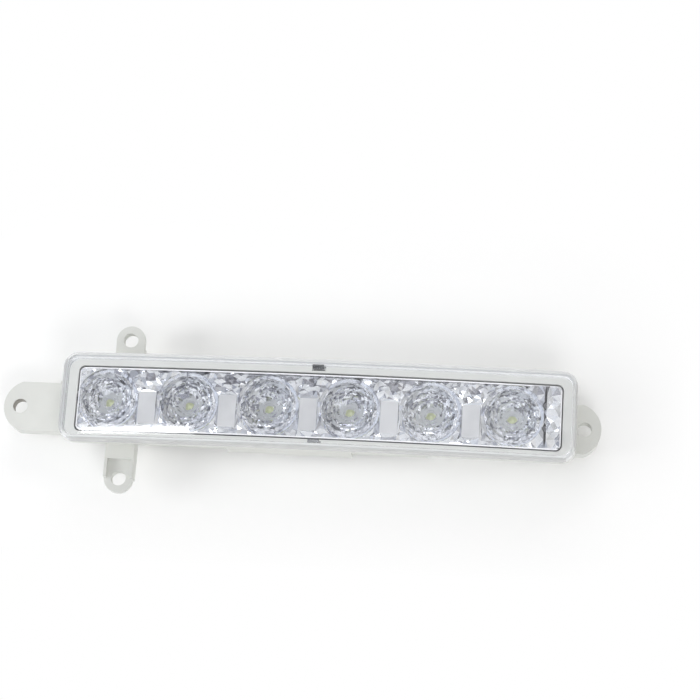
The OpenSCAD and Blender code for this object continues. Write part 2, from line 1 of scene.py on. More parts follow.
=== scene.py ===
"""Daytime running light: finishes, clear cover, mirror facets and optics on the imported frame."""

import math
import random

import bmesh
import bpy
from mathutils import Matrix, Vector
from mathutils.geometry import delaunay_2d_cdt


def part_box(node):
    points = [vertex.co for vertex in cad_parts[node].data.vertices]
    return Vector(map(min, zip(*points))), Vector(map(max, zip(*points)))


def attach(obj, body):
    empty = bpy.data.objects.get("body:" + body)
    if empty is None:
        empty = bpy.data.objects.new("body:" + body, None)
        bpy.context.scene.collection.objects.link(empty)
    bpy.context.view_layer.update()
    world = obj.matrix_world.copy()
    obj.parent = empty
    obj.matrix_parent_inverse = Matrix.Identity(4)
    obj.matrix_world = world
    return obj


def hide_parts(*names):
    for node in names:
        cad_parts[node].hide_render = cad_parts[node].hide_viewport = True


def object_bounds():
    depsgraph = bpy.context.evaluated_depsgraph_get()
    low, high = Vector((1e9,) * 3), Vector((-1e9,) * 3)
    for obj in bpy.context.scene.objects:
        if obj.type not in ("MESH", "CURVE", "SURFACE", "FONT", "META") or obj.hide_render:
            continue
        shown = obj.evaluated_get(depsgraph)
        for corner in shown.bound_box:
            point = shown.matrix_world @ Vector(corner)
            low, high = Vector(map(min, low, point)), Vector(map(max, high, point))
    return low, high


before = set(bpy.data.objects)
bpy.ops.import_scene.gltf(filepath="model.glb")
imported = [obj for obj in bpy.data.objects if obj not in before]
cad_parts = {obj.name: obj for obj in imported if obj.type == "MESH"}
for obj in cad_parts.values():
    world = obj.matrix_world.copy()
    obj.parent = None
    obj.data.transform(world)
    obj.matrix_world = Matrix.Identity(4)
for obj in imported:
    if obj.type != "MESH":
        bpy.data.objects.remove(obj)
cad_bounds = [list(corner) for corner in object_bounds()]

MM = 0.001
CELLS = 6

# Moulded cover, its bow along the lamp and its two snap hooks
BOW_RADIUS = 1.8
COVER_DEPTH = 7 * MM
COVER_WALL = 2 * MM
COVER_EDGE = 1.6 * MM
COVER_INNER_EDGE = 0.6 * MM
COVER_FLAT = 0.5 * MM
COVER_STEPS = 6
COVER_SMOOTH = 35
CORNER = 7 * MM
SEAT = 0.05 * MM
END_SHADE = 1.9 * MM
SKIRT_SHADE = 0.8 * MM
HOOK_WIDTH = 5.4 * MM
HOOK_THICK = 1.6 * MM
HOOK_HEIGHT = 17.9 * MM
HOOK_REACH = 3.2 * MM
HOOK_EDGE = 0.25 * MM

# Housing's snap slots and the bore of its long ear, where painted shade darkens the housing
SLOT_DEPTH = 6 * MM
EAR_X = 135 * MM
BORE_HALF = 3.6 * MM

# Lining of the window
LINING_GAP = 0.4 * MM
LINING_WALL = 0.98 * MM
LINING_CORNER = 3 * MM
LINING_BITE = 0.04 * MM
LIP_ROUND = 0.15 * MM
GAP_WIDTH = 0.34 * MM
GAP_DEPTH = 1 * MM
SHADE_DEPTH = 3 * MM

# Bowls of the reflector
MIRROR_DEPTH = 4.84 * MM
BOWL_RADIUS = 14.7 * MM
BOWL_FLOOR = 4.5 * MM
BOWL_WALL = 0.7 * MM
BOWL_SECTORS = 26
BOWL_ROWS = 8
BOWL_DEEP_ROW = 4
BOWL_JITTER = 0.6 * MM
SHEET = 2 * MM

# Cut fields between the bowls; the heights of their flats are in millimetres
FACET = 1.8 * MM
SPREAD = 0.38
PANEL_HALF = 4.1 * MM
PANEL_LOW = -11 * MM
PANEL_HIGH = 4.5 * MM
PANEL_RISE = 1.4 * MM
CROWN_CUT = (0.5, 2.0)
FOOT_CUT = (0.2, 1.2)
SIDE_CUT = (0.2, 1.0)
CORNER_CUT = (0.2, 1.6)
END_CUT = (0.4, 3.0)
GROOVE_X = 116.4 * MM
GROOVE_HALF = 0.55 * MM
GROOVE_ROWS = 8
PRISM_ROWS = 6

# Clear optics: each cut ring's share of the relief, from the crown to the rim
OPTIC_SECTORS = 30
OPTIC_RIM = 1.5 * MM
RING_CUT = (0, 0.3, 0.8, 1.2, 1.3, 1.1, 0.9, 0.9, 0.8)
RING_RELIEF = 0.8 * MM
RING_JITTER = 0.32 * MM
CROWN_SHARE = 0.2
CONE_JITTER = 0.06 * MM
PIT_RADIUS = 2.7 * MM
PIT_DEPTH = 3.2 * MM
PIT_TIP = 3 * MM
TOUCH = 0.06 * MM

# Slots of the cover's and of the reflector's finishes
ON_FACE, ON_HOOK, ON_SKIRT, ON_SHADED_SKIRT, ON_SHADED_LONG_END = range(5)
AS_MIRROR, AS_GLOW, AS_SATIN, AS_SHADED, AS_BOWL, AS_GAP_SHADE = range(6)

# Where the photograph was taken from, in degrees and metres, and its lens in pixels of the picture
CAMERA_AZIMUTH = 5.24
CAMERA_ELEVATION = -15.88
CAMERA_ROLL = 3.72
CAMERA_DISTANCE = 1.029
CAMERA_AIM = Vector((22.2, 0, 34.4)) * MM
FOCAL_PIXELS = 2148
PICTURE = 700
SENSOR = 36

# Share of the world's light that matt surfaces get
MATT_LIGHT = 0.76


def corners(node):
    low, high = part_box(node)
    return Vector(low), Vector(high)


cover_low, cover_high = corners("outer_lens")
mirror_low, mirror_high = corners("reflector")
LAMP_X = (cover_low.x + cover_high.x) / 2
COVER_W = cover_high.x - cover_low.x
COVER_H = cover_high.z - cover_low.z
FACE_Y = cover_low.y + COVER_DEPTH
MIRROR_W = mirror_high.x - mirror_low.x
MIRROR_H = -2 * mirror_low.z
cell_boxes = [corners(f"optic_{i + 1}") for i in range(CELLS)]
cell_x = [(low.x + high.x) / 2 for low, high in cell_boxes]
OPTIC_RADIUS = (cell_boxes[0][1].x - cell_boxes[0][0].x) / 2
BOARD_Y = corners("led_board")[0].y
MIRROR_Y = FACE_Y + MIRROR_DEPTH
SEAT_Y = MIRROR_Y + OPTIC_RIM


# Shader groups
def new_group(name, inputs, outputs):
    group = bpy.data.node_groups.new(name, "ShaderNodeTree")
    for label, default in inputs:
        socket = group.interface.new_socket(label, in_out="INPUT", socket_type="NodeSocketFloat")
        socket.default_value = default
    for label, kind in outputs:
        group.interface.new_socket(label, in_out="OUTPUT", socket_type=kind)
    return group, group.nodes.new("NodeGroupInput"), group.nodes.new("NodeGroupOutput")


def noise(tree, scale, detail=3.0, rough=0.5):
    node = tree.nodes.new("ShaderNodeTexNoise")
    node.inputs["Detail"].default_value = detail
    node.inputs["Roughness"].default_value = rough
    if isinstance(scale, (int, float)):
        node.inputs["Scale"].default_value = scale
    else:
        tree.links.new(scale, node.inputs["Scale"])
    return node


def map_range(tree, value, low, high, to_low=0.0, to_high=1.0):
    node = tree.nodes.new("ShaderNodeMapRange")
    tree.links.new(value, node.inputs["Value"])
    for label, limit in (("From Min", low), ("From Max", high), ("To Min", to_low), ("To Max", to_high)):
        if isinstance(limit, (int, float)):
            node.inputs[label].default_value = limit
        else:
            tree.links.new(limit, node.inputs[label])
    return node.outputs["Result"]


def mix_colour(tree, factor, first, second, blend="MIX"):
    node = tree.nodes.new("ShaderNodeMix")
    node.data_type = "RGBA"
    node.blend_type = blend
    for socket, value in ((node.inputs[0], factor), (node.inputs[6], first), (node.inputs[7], second)):
        if isinstance(value, (int, float)):
            socket.default_value = value
        elif isinstance(value, tuple):
            socket.default_value = (*value[:3], 1.0)
        else:
            tree.links.new(value, socket)
    return node.outputs[2]


def math_node(tree, operation, first, second=None):
    node = tree.nodes.new("ShaderNodeMath")
    node.operation = operation
    for socket, value in zip(node.inputs, (first, second)):
        if isinstance(value, (int, float)):
            socket.default_value = value
        elif value is not None:
            tree.links.new(value, socket)
    return node.outputs[0]


def axes(tree, kind="Object"):
    """The place on the object, and its X, Y and Z."""
    place = tree.nodes.new("ShaderNodeTexCoord").outputs[kind]
    split = tree.nodes.new("ShaderNodeSeparateXYZ")
    tree.links.new(place, split.inputs[0])
    return place, split.outputs


def mix_shaders(tree, factor, first, second):
    mix = tree.nodes.new("ShaderNodeMixShader")
    for socket, source in zip(mix.inputs, (factor, first, second)):
        tree.links.new(source, socket)
    return mix.outputs[0]


def grain_group():
    """Fine mould grain, broad clouding and a gloss that follows it."""
    group, given, out = new_group(
        "mould_grain",
        [("Grain", 2600.0), ("Clouds", 60.0), ("Gloss Low", 0.4), ("Gloss High", 0.55)],
        [("Height", "NodeSocketFloat"), ("Roughness", "NodeSocketFloat"), ("Cloud", "NodeSocketFloat")],
    )
    place = group.nodes.new("ShaderNodeTexCoord").outputs["Object"]
    fine = noise(group, given.outputs["Grain"], 4.0, 0.6)
    broad = noise(group, given.outputs["Clouds"], 5.0, 0.55)
    group.links.new(place, fine.inputs["Vector"])
    group.links.new(place, broad.inputs["Vector"])
    dull, bright = given.outputs["Gloss Low"], given.outputs["Gloss High"]
    gloss = map_range(group, broad.outputs["Fac"], 0.3, 0.7, dull, bright)
    group.links.new(fine.outputs["Fac"], out.inputs["Height"])
    group.links.new(gloss, out.inputs["Roughness"])
    group.links.new(map_range(group, broad.outputs["Fac"], 0.3, 0.7), out.inputs["Cloud"])
    return group


def edge_group():
    """Rounded normals at moulded edges, and a mask of those edges."""
    group, given, out = new_group(
        "soft_edges",
        [("Radius", 0.0004)],
        [("Normal", "NodeSocketVector"), ("Edge", "NodeSocketFloat")],
    )
    bevel = group.nodes.new("ShaderNodeBevel")
    bevel.samples = 6
    group.links.new(given.outputs["Radius"], bevel.inputs["Radius"])
    flat = group.nodes.new("ShaderNodeNewGeometry").outputs["Normal"]
    dot = group.nodes.new("ShaderNodeVectorMath")
    dot.operation = "DOT_PRODUCT"
    group.links.new(bevel.outputs["Normal"], dot.inputs[0])
    group.links.new(flat, dot.inputs[1])
    group.links.new(bevel.outputs["Normal"], out.inputs["Normal"])
    group.links.new(map_range(group, dot.outputs["Value"], 1.0, 0.8), out.inputs["Edge"])
    return group


GRAIN = grain_group()
EDGES = edge_group()


# Materials
def use_group(tree, group, **values):
    node = tree.nodes.new("ShaderNodeGroup")
    node.node_tree = group
    for label, value in values.items():
        node.inputs[label.replace("_", " ")].default_value = value
    return node


def blank(name):
    material = bpy.data.materials.new(name)
    material.use_nodes = True
    tree = material.node_tree
    return material, tree, tree.nodes["Principled BSDF"]


def moulded(name, light, dark, edge, gloss, bump, clouds=60.0, radius=0.0004, **sockets):
    """Moulded or pressed finish: clouded colour, brighter edges and a grained surface."""
    material, tree, shader = blank(name)
    skin = use_group(tree, GRAIN, Grain=2600.0, Clouds=clouds, Gloss_Low=gloss[0], Gloss_High=gloss[1])
    rim = use_group(tree, EDGES, Radius=radius)
    clouded = mix_colour(tree, skin.outputs["Cloud"], dark, light)
    edged = mix_colour(tree, math_node(tree, "MULTIPLY", rim.outputs["Edge"], 0.6), clouded, edge)
    tree.links.new(edged, shader.inputs["Base Color"])
    tree.links.new(skin.outputs["Roughness"], shader.inputs["Roughness"])
    relief = tree.nodes.new("ShaderNodeBump")
    relief.inputs["Strength"].default_value = bump
    relief.inputs["Distance"].default_value = 0.0001
    tree.links.new(skin.outputs["Height"], relief.inputs["Height"])
    tree.links.new(rim.outputs["Normal"], relief.inputs["Normal"])
    tree.links.new(relief.outputs["Normal"], shader.inputs["Normal"])
    for label, value in sockets.items():
        shader.inputs[label.replace("_", " ")].default_value = value
    return material


def box_mask(tree, centre, half):
    """One inside a box about centre, and inside its mirror image below the lamp's middle line."""
    along = axes(tree)[1]
    inside = None
    for axis, middle, reach in zip("XYZ", centre, half):
        value = along[axis]
        if axis == "Z":
            value = math_node(tree, "ABSOLUTE", value)
        apart = math_node(tree, "ABSOLUTE", math_node(tree, "SUBTRACT", value, middle))
        near = math_node(tree, "LESS_THAN", apart, reach)
        inside = near if inside is None else math_node(tree, "MULTIPLY", inside, near)
    return inside


def colour_source(material):
    """The material's tree, its shader and the socket that its colour comes from."""
    tree = material.node_tree
    shader = tree.nodes["Principled BSDF"]
    return tree, shader, shader.inputs["Base Color"].links[0].from_socket


def housing_with_painted_shade():
    """Pale moulded plastic, darkened by painted shade inside the two snap slots and on the wall of the long
    ear's bore.
    """
    material = moulded(
        "housing_plastic", (0.73, 0.737, 0.705), (0.685, 0.693, 0.662), (0.82, 0.825, 0.8), (0.38, 0.5), 0.25
    )
    tree, shader, plain = colour_source(material)
    # Painted shade: near-black colour inside the two snap slots, where shade falls
    centre = (LAMP_X, FACE_Y + SLOT_DEPTH / 2 - 0.3 * MM, HOOK_HEIGHT)
    half = (HOOK_WIDTH / 2 + 0.5 * MM, SLOT_DEPTH / 2, HOOK_THICK / 2 + 0.2 * MM)
    shade = mix_colour(tree, box_mask(tree, centre, half), plain, (0.12, 0.125, 0.13))
    # Painted shade: brown-grey colour on the wall of the long ear's bore
    bore_shade_mask = box_mask(tree, (-EAR_X, 3 * MM, 0), (BORE_HALF, 2.7 * MM, BORE_HALF))
    shade = mix_colour(tree, bore_shade_mask, shade, (0.36, 0.34, 0.31))
    tree.links.new(shade, shader.inputs["Base Color"])
    return material


def clear_plastic(name, tint, roughness, bend, clear=1.0):
    """Clear plastic that bends what is seen through it and lets the lamps through."""
    material, tree, shader = blank(name)
    shader.inputs["Base Color"].default_value = (*tint, 1)
    shader.inputs["Roughness"].default_value = roughness
    shader.inputs["IOR"].default_value = bend
    shader.inputs["Transmission Weight"].default_value = clear
    path = tree.nodes.new("ShaderNodeLightPath")
    through = math_node(tree, "MAXIMUM", path.outputs["Is Shadow Ray"], path.outputs["Is Diffuse Ray"])
    open_way = tree.nodes.new("ShaderNodeBsdfTransparent")
    mixed = mix_shaders(tree, through, shader.outputs[0], open_way.outputs[0])
    tree.links.new(mixed, tree.nodes["Material Output"].inputs["Surface"])
    return material


def coated(name, dark, light, clouds, gloss, metallic):
    """Vacuum-coated plastic: bright metal with a faint lilac cast and uneven gloss."""
    material, tree, shader = blank(name)
    skin = use_group(tree, GRAIN, Grain=900.0, Clouds=clouds, Gloss_Low=gloss[0], Gloss_High=gloss[1])
    tone = mix_colour(tree, skin.outputs["Cloud"], dark, light)
    tree.links.new(tone, shader.inputs["Base Color"])
    tree.links.new(skin.outputs["Roughness"], shader.inputs["Roughness"])
    shader.inputs["Metallic"].default_value = metallic
    return material


def bowl_coat_with_painted_reflection():
    """The coat on a bowl: softer, with a painted reflection that is warm on the left of each cell and cool on
    the right.
    """
    material = coated("bowl_coat", (0.84, 0.845, 0.86), (0.93, 0.935, 0.95), 220.0, (0.12, 0.24), 0.6)
    tree, shader, tone = colour_source(material)
    # Painted reflection: warm tint on the left of each cell's wall, cool on the right
    side = map_range(tree, cell_place(tree)[0], -8 * MM, 8 * MM)
    tint = mix_colour(tree, side, (1.0, 0.99, 0.94), (0.93, 0.96, 1.0))
    tree.links.new(mix_colour(tree, 1.0, tone, tint, "MULTIPLY"), shader.inputs["Base Color"])
    return material


def glowing_coat():
    """Bright coat of the window lining's front edge, with a faint painted glow; it also marks painted glints
    deep in the bowls.
    """
    material = coated("painted_glow_coat", (0.9, 0.9, 0.91), (0.97, 0.97, 0.98), 120.0, (0.25, 0.4), 0.1)
    shader = material.node_tree.nodes["Principled BSDF"]
    # Painted glow: the coat shines a little though it is no lamp
    shader.inputs["Emission Color"].default_value = (1, 1, 1, 1)
    shader.inputs["Emission Strength"].default_value = 0.1
    return material


def cell_place(tree):
    """Offset to the right of the nearest cell's axis, and distance from that axis."""
    along = axes(tree)[1]
    pitch = cell_x[1] - cell_x[0]
    shifted = math_node(tree, "SUBTRACT", along["X"], cell_x[0] - pitch / 2)
    across = math_node(tree, "SUBTRACT", math_node(tree, "FLOORED_MODULO", shifted, pitch), pitch / 2)
    square_x = math_node(tree, "MULTIPLY", across, across)
    square_z = math_node(tree, "MULTIPLY", along["Z"], along["Z"])
    return across, math_node(tree, "SQRT", math_node(tree, "ADD", square_x, square_z))


def diode_finish():
    """White ceramic base under a yellow-green phosphor dome."""
    material, tree, shader = blank("diode_package")
    place, along = axes(tree)
    base_top = BOARD_Y - 0.6 * MM
    raised = map_range(tree, along["Y"], base_top, base_top - 0.1 * MM)
    apart = cell_place(tree)[1]
    dome = math_node(tree, "MULTIPLY", raised, map_range(tree, apart, 2.1 * MM, 1.9 * MM))
    speck = noise(tree, 4000.0)
    tree.links.new(place, speck.inputs["Vector"])
    phosphor = mix_colour(tree, speck.outputs["Fac"], (0.63, 0.68, 0.37), (0.8, 0.83, 0.54))
    tree.links.new(mix_colour(tree, dome, (0.85, 0.86, 0.83), phosphor), shader.inputs["Base Color"])
    tree.links.new(map_range(tree, speck.outputs["Fac"], 0.3, 0.7, 0.3, 0.45), shader.inputs["Roughness"])
    return material


HOUSING = housing_with_painted_shade()
SEAL = moulded("seal_rubber", (0.6, 0.61, 0.61), (0.54, 0.55, 0.55), (0.68, 0.68, 0.68), (0.5, 0.65), 0.2)
NAVY = moulded(
    "cap_rubber", (0.018, 0.028, 0.13), (0.012, 0.02, 0.1), (0.05, 0.07, 0.22), (0.22, 0.34), 0.15,
    clouds=90.0
)
TIN = moulded(
    "terminal_tin", (0.78, 0.74, 0.62), (0.68, 0.64, 0.53), (0.86, 0.83, 0.75), (0.18, 0.35), 0.1,
    clouds=500.0, radius=0.0001, Metallic=1.0
)
STEEL = moulded(
    "screw_steel", (0.62, 0.62, 0.64), (0.5, 0.5, 0.52), (0.8, 0.8, 0.8), (0.25, 0.4), 0.1,
    clouds=400.0, radius=0.0001, Metallic=1.0
)
BOARD = moulded(
    "board_white", (0.74, 0.755, 0.745), (0.68, 0.695, 0.685), (0.62, 0.6, 0.47), (0.35, 0.45), 0.1
)
CHIP = moulded(
    "chip_black", (0.03, 0.03, 0.032), (0.02, 0.02, 0.022), (0.08, 0.08, 0.08), (0.4, 0.55), 0.3,
    radius=0.0001
)
CAN = moulded(
    "capacitor_can", (0.7, 0.71, 0.73), (0.6, 0.61, 0.63), (0.85, 0.85, 0.86), (0.2, 0.3), 0.05,
    radius=0.0002, Metallic=1.0
)
MEMBRANE = moulded(
    "membrane_white", (0.9, 0.9, 0.88), (0.84, 0.84, 0.82), (0.92, 0.92, 0.9), (0.7, 0.85), 0.6
)
COVER_CLEAR = clear_plastic("cover_clear", (0.97, 0.98, 1.0), 0.0, 1.49)
SKIRT_CLEAR = clear_plastic("skirt_clear", (0.93, 0.94, 0.94), 0.25, 1.3, 0.5)
# Darker copies of the skirt: painted shade under it, at its short end and most at the long ear's end
SHADED_SKIRT = clear_plastic("skirt_painted_shade", (0.66, 0.665, 0.66), 0.25, 1.3, 0.5)
SHADED_LONG_END = clear_plastic("skirt_end_painted_shade", (0.56, 0.565, 0.57), 0.25, 1.3, 0.4)
# Grey tint of the snap hooks: painted shade for the dark slots that they sit in
HOOK_SHADE = clear_plastic("hook_shade", (0.42, 0.43, 0.45), 0.05, 1.49)
OPTIC_CLEAR = clear_plastic("optic_clear", (0.96, 0.97, 1.0), 0.02, 1.33)
MIRROR = coated("mirror_coat", (0.77, 0.778, 0.8), (0.88, 0.884, 0.9), 220.0, (0.05, 0.16), 1.0)
GLOW_COAT = glowing_coat()
SATIN = coated("satin_panel", (0.64, 0.645, 0.652), (0.72, 0.724, 0.73), 90.0, (0.38, 0.5), 0.35)
# Darker copy of the mirror coat, put on chosen flats as painted shade
SHADED_COAT = coated("shaded_coat", (0.36, 0.36, 0.39), (0.48, 0.48, 0.51), 220.0, (0.05, 0.16), 1.0)
BOWL = bowl_coat_with_painted_reflection()
# Near-black coat: painted shade in the lining's gap, in the end field's groove and in specks near its top
GAP_SHADE_COAT = moulded("gap_shade", (0.14, 0.14, 0.15), (0.1, 0.1, 0.11), (0.18, 0.18, 0.19), (0.5, 0.6), 0.1)
DIODE = diode_finish()

FINISHES = {
    "housing": HOUSING,
    "lens_seal": SEAL,
    "led_board": BOARD,
    "driver_chip": CHIP,
    "surge_diode": CHIP,
    "board_resistors": CHIP,
    "smoothing_capacitor": CAN,
    "terminal_1": TIN,
    "terminal_2": TIN,
    "breather_cap": NAVY,
    "vent_membrane": MEMBRANE,
    "board_screws": STEEL,
    "outer_lens": COVER_CLEAR,
    "reflector": MIRROR,
}
FINISHES.update({f"led_{i + 1}": DIODE for i in range(CELLS)})
FINISHES.update({f"optic_{i + 1}": OPTIC_CLEAR for i in range(CELLS)})


def finish_nodes():
    for name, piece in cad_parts.items():
        for slot in piece.material_slots:
            slot.material = FINISHES[name]


# Mesh helpers
def add_piece(name, mesh_data, materials, node, smooth_angle=None):
    """Rigid piece that stands for one node of the frame."""
    bmesh.ops.recalc_face_normals(mesh_data, faces=mesh_data.faces)
    mesh = bpy.data.meshes.new(name)
    mesh_data.to_mesh(mesh)
    mesh_data.free()
    if smooth_angle:
        mesh.shade_smooth()
        mesh.set_sharp_from_angle(angle=math.radians(smooth_angle))
    for material in materials:
        mesh.materials.append(material)
    piece = bpy.data.objects.new(name, mesh)
    bpy.context.scene.collection.objects.link(piece)
    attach(piece, "root")
    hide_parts(node)


def bow(x, ahead):
    """Depth of the bowed face at x, moved forward by ahead."""
    return FACE_Y + BOW_RADIUS - math.sqrt((BOW_RADIUS + ahead) ** 2 - (x - LAMP_X) ** 2)


def columns(width, height, radius, arc=8, runs=48):
    """Upper half of a rounded rectangle from left to right, as (x, z) points."""
    left = [
        (-width / 2 + radius - radius * math.cos(a), height / 2 - radius + radius * math.sin(a))
        for a in (math.pi / 2 * i / arc for i in range(arc + 1))
    ]
    span = width - 2 * radius
    middle = [(-span / 2 + span * i / runs, height / 2) for i in range(1, runs)]
    right = [(-x, z) for x, z in reversed(left)]
    return left + middle + right


def bowed_ring(mesh_data, inset, ahead, width, height, radius):
    """Closed ring of vertices on the bowed face, from the top left round to the lower left."""
    upper = columns(width - 2 * inset, height - 2 * inset, max(radius - inset, 0.3 * MM))
    points = upper + [(x, -z) for x, z in reversed(upper)]
    return [mesh_data.verts.new((LAMP_X + x, bow(LAMP_X + x, ahead), z)) for x, z in points]


def join_rings(mesh_data, first, second):
    count = len(first)
    for i in range(count):
        j = (i + 1) % count
        mesh_data.faces.new((first[i], first[j], second[j], second[i]))


def close_ring(mesh_data, ring):
    """Fill a ring with strips from its upper half to its lower half."""
    half = len(ring) // 2
    for i in range(half - 1):
        mesh_data.faces.new((ring[i], ring[i + 1], ring[-2 - i], ring[-1 - i]))


def add_box(mesh_data, low, high, edge):
    """Box between two corners with softened edges."""
    made = bmesh.ops.create_cube(mesh_data, size=1.0)["verts"]
    centre = (low + high) / 2
    size = high - low
    for vert in made:
        vert.co = centre + Vector((vert.co.x * size.x, vert.co.y * size.y, vert.co.z * size.z))
    edges = list({e for v in made for e in v.link_edges})
    bmesh.ops.bevel(mesh_data, geom=edges, offset=edge, segments=2, profile=0.5, affect="EDGES")


# Clear cover
def skirt_slot(centre):
    """Finish of a face on the skirt, darkened by painted shade under it and at its ends, most at the long
    ear's end.
    """
    if centre.x - LAMP_X < END_SHADE - COVER_W / 2:
        return ON_SHADED_LONG_END
    end = centre.x - LAMP_X > COVER_W / 2 - SKIRT_SHADE
    under = centre.z < SKIRT_SHADE - COVER_H / 2
    return ON_SHADED_SKIRT if end or under else ON_SKIRT


def clear_cover():
    """Bowed cover with a deep skirt, rounded inside and out, and two snap hooks."""
    data = bmesh.new()
    size = (COVER_W, COVER_H, CORNER)
    quarter = [math.pi / 2 * k / COVER_STEPS for k in range(COVER_STEPS + 1)]
    outer = [bowed_ring(data, 0, SEAT, *size)]
    for a in quarter:
        inset = COVER_EDGE * (1 - math.cos(a))
        outer.append(bowed_ring(data, inset, COVER_DEPTH - COVER_EDGE * (1 - math.sin(a)), *size))
    outer.append(bowed_ring(data, COVER_EDGE + COVER_FLAT, COVER_DEPTH, *size))
    inner = [bowed_ring(data, COVER_WALL, SEAT, *size)]
    for a in quarter:
        inset = COVER_WALL + COVER_INNER_EDGE * (1 - math.cos(a))
        ahead = COVER_DEPTH - COVER_WALL - COVER_INNER_EDGE * (1 - math.sin(a))
        inner.append(bowed_ring(data, inset, ahead, *size))
    last = COVER_WALL + COVER_INNER_EDGE + COVER_FLAT
    inner.append(bowed_ring(data, last, COVER_DEPTH - COVER_WALL, *size))
    for rings in (outer, inner):
        start = len(data.faces)
        for first, second in zip(rings, rings[1:-1]):
            join_rings(data, first, second)
        data.faces.ensure_lookup_table()
        for face in data.faces[start:]:
            face.material_index = skirt_slot(face.calc_center_median()) if rings is outer else ON_FACE
        join_rings(data, rings[-2], rings[-1])
        close_ring(data, rings[-1])
    join_rings(data, outer[0], inner[0])
    face_count = len(data.faces)
    for side in (-1, 1):
        near = side * HOOK_HEIGHT - HOOK_THICK / 2
        low = Vector((LAMP_X - HOOK_WIDTH / 2, FACE_Y - COVER_DEPTH + COVER_WALL, near))
        high = Vector((LAMP_X + HOOK_WIDTH / 2, FACE_Y + HOOK_REACH, near + HOOK_THICK))
        add_box(data, low, high, HOOK_EDGE)
    data.faces.ensure_lookup_table()
    for face in data.faces[face_count:]:
        face.material_index = ON_HOOK
    finishes = [COVER_CLEAR, HOOK_SHADE, SKIRT_CLEAR, SHADED_SKIRT, SHADED_LONG_END]
    add_piece("clear_cover", data, finishes, "outer_lens", COVER_SMOOTH)


# Turned and faceted forms
def lathe(data, x, profile, sectors, closed, rng):
    """Rings of vertices about a cell's axis. A row is radius, depth, twist and jitter."""
    rows = []
    for radius, depth, twist, jitter in profile:
        row = []
        for j in range(sectors):
            angle = 2 * math.pi * (j + twist) / sectors
            shifted = depth + rng.uniform(-jitter, jitter)
            row.append(data.verts.new((x + radius * math.cos(angle), shifted, radius * math.sin(angle))))
        rows.append((row, twist))
    pairs = list(zip(rows, rows[1:]))
    if closed:
        pairs.append((rows[-1], rows[0]))
    for (first, lean_first), (second, lean_second) in pairs:
        for j in range(sectors):
            k = (j + 1) % sectors
            if lean_first > lean_second:
                data.faces.new((first[j], second[k], second[j]))
                data.faces.new((first[j], first[k], second[k]))
            else:
                data.faces.new((first[j], first[k], second[j]))
                data.faces.new((second[j], first[k], second[k]))
    return [row for row, twist in rows]


def cap_row(data, row, x, depth):
    """Close a row with triangles to a point on the cell's axis."""
    tip = data.verts.new((x, depth, 0))
    for j in range(len(row)):
        data.faces.new((tip, row[j], row[(j + 1) % len(row)]))


def collimator(index):
    """Clear optic: cut rings in front, a cone behind and a pit round the diode."""
    data = bmesh.new()
    rng = random.Random(11 + index)
    x = cell_x[index]
    front = cell_boxes[index][0].y
    back = cell_boxes[index][1].y
    fall = MIRROR_Y - 0.6 * MM - front - RING_RELIEF
    profile = []
    for k, cut in enumerate(RING_CUT):
        share = CROWN_SHARE + (1 - CROWN_SHARE) * k / (len(RING_CUT) - 1)
        depth = front + RING_RELIEF * cut * (k % 2) + fall * share * share
        profile.append((OPTIC_RADIUS * share, depth, 0.5 * (k % 2), RING_JITTER * cut))
    crown_depth = profile[0][1]
    cone_top = OPTIC_RADIUS - 1.2 * MM
    cone_low = BOWL_FLOOR - 0.3 * MM
    rim = SEAT_Y - TOUCH
    profile.append((OPTIC_RADIUS, rim, 0, 0))
    profile.append((cone_top, rim, 0, 0))
    for k, share in enumerate((0.2, 0.4, 0.6, 0.8)):
        radius = cone_top + (cone_low - cone_top) * share ** 1.3
        profile.append((radius, rim + (back - rim) * share, 0.5 * (1 - k % 2), CONE_JITTER))
    profile.append((cone_low, back, 0, 0))
    profile.append((PIT_RADIUS, back, 0, 0))
    profile.append((PIT_RADIUS * 0.85, back - PIT_DEPTH, 0, 0))
    rows = lathe(data, x, profile, OPTIC_SECTORS, False, rng)
    cap_row(data, rows[0], x, crown_depth)
    cap_row(data, rows[-1], x, back - PIT_TIP)
    add_piece(f"collimator_{index + 1}", data, [OPTIC_CLEAR], f"optic_{index + 1}")


def bowl(data, x, rng):
    """Metallised bowl under an optic, cut in small flats."""
    top = MIRROR_Y + 0.2 * MM
    floor = BOARD_Y - 0.2 * MM
    seat_radius = OPTIC_RADIUS - 1.1 * MM
    profile = [(BOWL_RADIUS, top, 0, 0), (BOWL_RADIUS, SEAT_Y, 0, 0), (seat_radius, SEAT_Y, 0, 0)]
    for k in range(1, BOWL_ROWS):
        share = k / BOWL_ROWS
        radius = seat_radius + (BOWL_FLOOR - seat_radius) * share ** 1.4
        profile.append((radius, SEAT_Y + (floor - SEAT_Y) * share, 0.5 * (k % 2), BOWL_JITTER))
    profile.append((BOWL_FLOOR, floor, 0, 0))
    profile.append((BOWL_FLOOR + BOWL_WALL, floor, 0, 0))
    profile.append((seat_radius + BOWL_WALL, SEAT_Y + 1.2 * MM, 0, 0))
    profile.append((BOWL_RADIUS + BOWL_WALL, SEAT_Y + 0.6 * MM, 0, 0))
    profile.append((BOWL_RADIUS + BOWL_WALL, top, 0, 0))
    start = len(data.faces)
    lathe(data, x, profile, BOWL_SECTORS, True, rng)
    data.faces.ensure_lookup_table()
    for number, face in enumerate(data.faces[start:]):
        row = number // (2 * BOWL_SECTORS)
        deep = row > BOWL_DEEP_ROW
        if row < 2 + BOWL_ROWS:
            face.material_index = AS_BOWL
        # Painted shade and glints: random flats take the shaded coat, and some deep ones the glowing coat
        if rng.random() < (0.36 if deep else 0.14):
            face.material_index = AS_SHADED
        elif rng.random() < (0.22 if deep else 0.4):
            face.material_index = AS_GLOW if deep else AS_MIRROR


